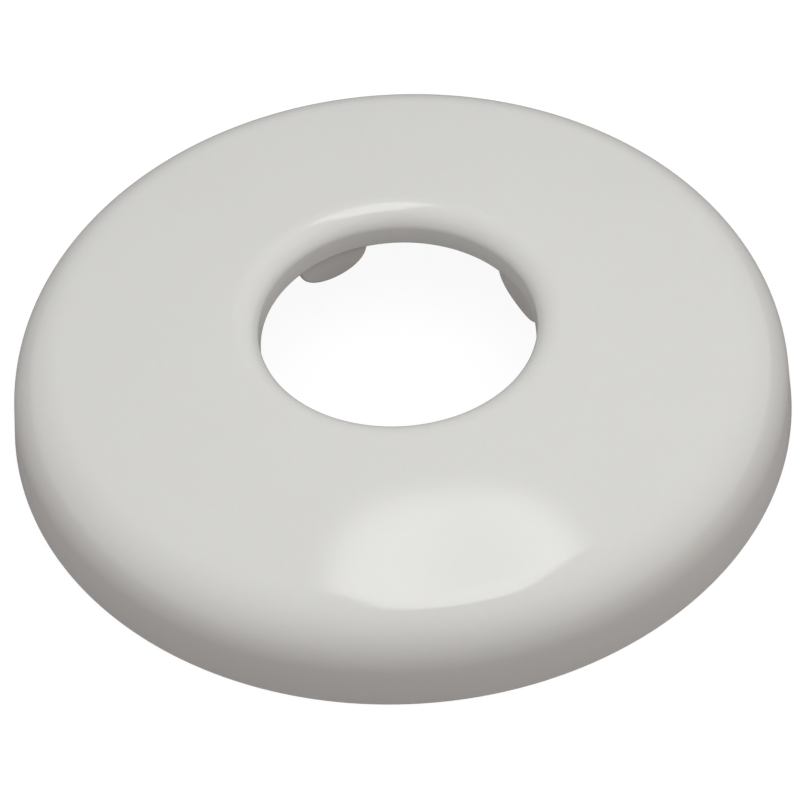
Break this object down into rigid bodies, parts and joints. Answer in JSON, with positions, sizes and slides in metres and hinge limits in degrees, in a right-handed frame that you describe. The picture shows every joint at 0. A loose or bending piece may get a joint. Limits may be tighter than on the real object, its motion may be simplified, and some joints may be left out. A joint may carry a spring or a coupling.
{
  "type": "pipe escutcheon",
  "caption": "Low domed ring that slips over a pipe and covers the gap at the wall, with a rounded lip, a short collar and half-round ears under the pipe hole.",
  "frame": {"origin": "centre of the flat rim that lies against the wall, on the pipe's axis", "axes": "+Z along the pipe's axis, away from the wall; the ears under the pipe hole lie on the X and Y axes"},
  "size_m": [0.0636, 0.0636, 0.0104],
  "materials": {
    "off_white_plastic": "glossy moulded off-white plastic"
  },
  "bodies": {
    "root": {"escutcheon": "off_white_plastic"}
  },
  "joints": []
}
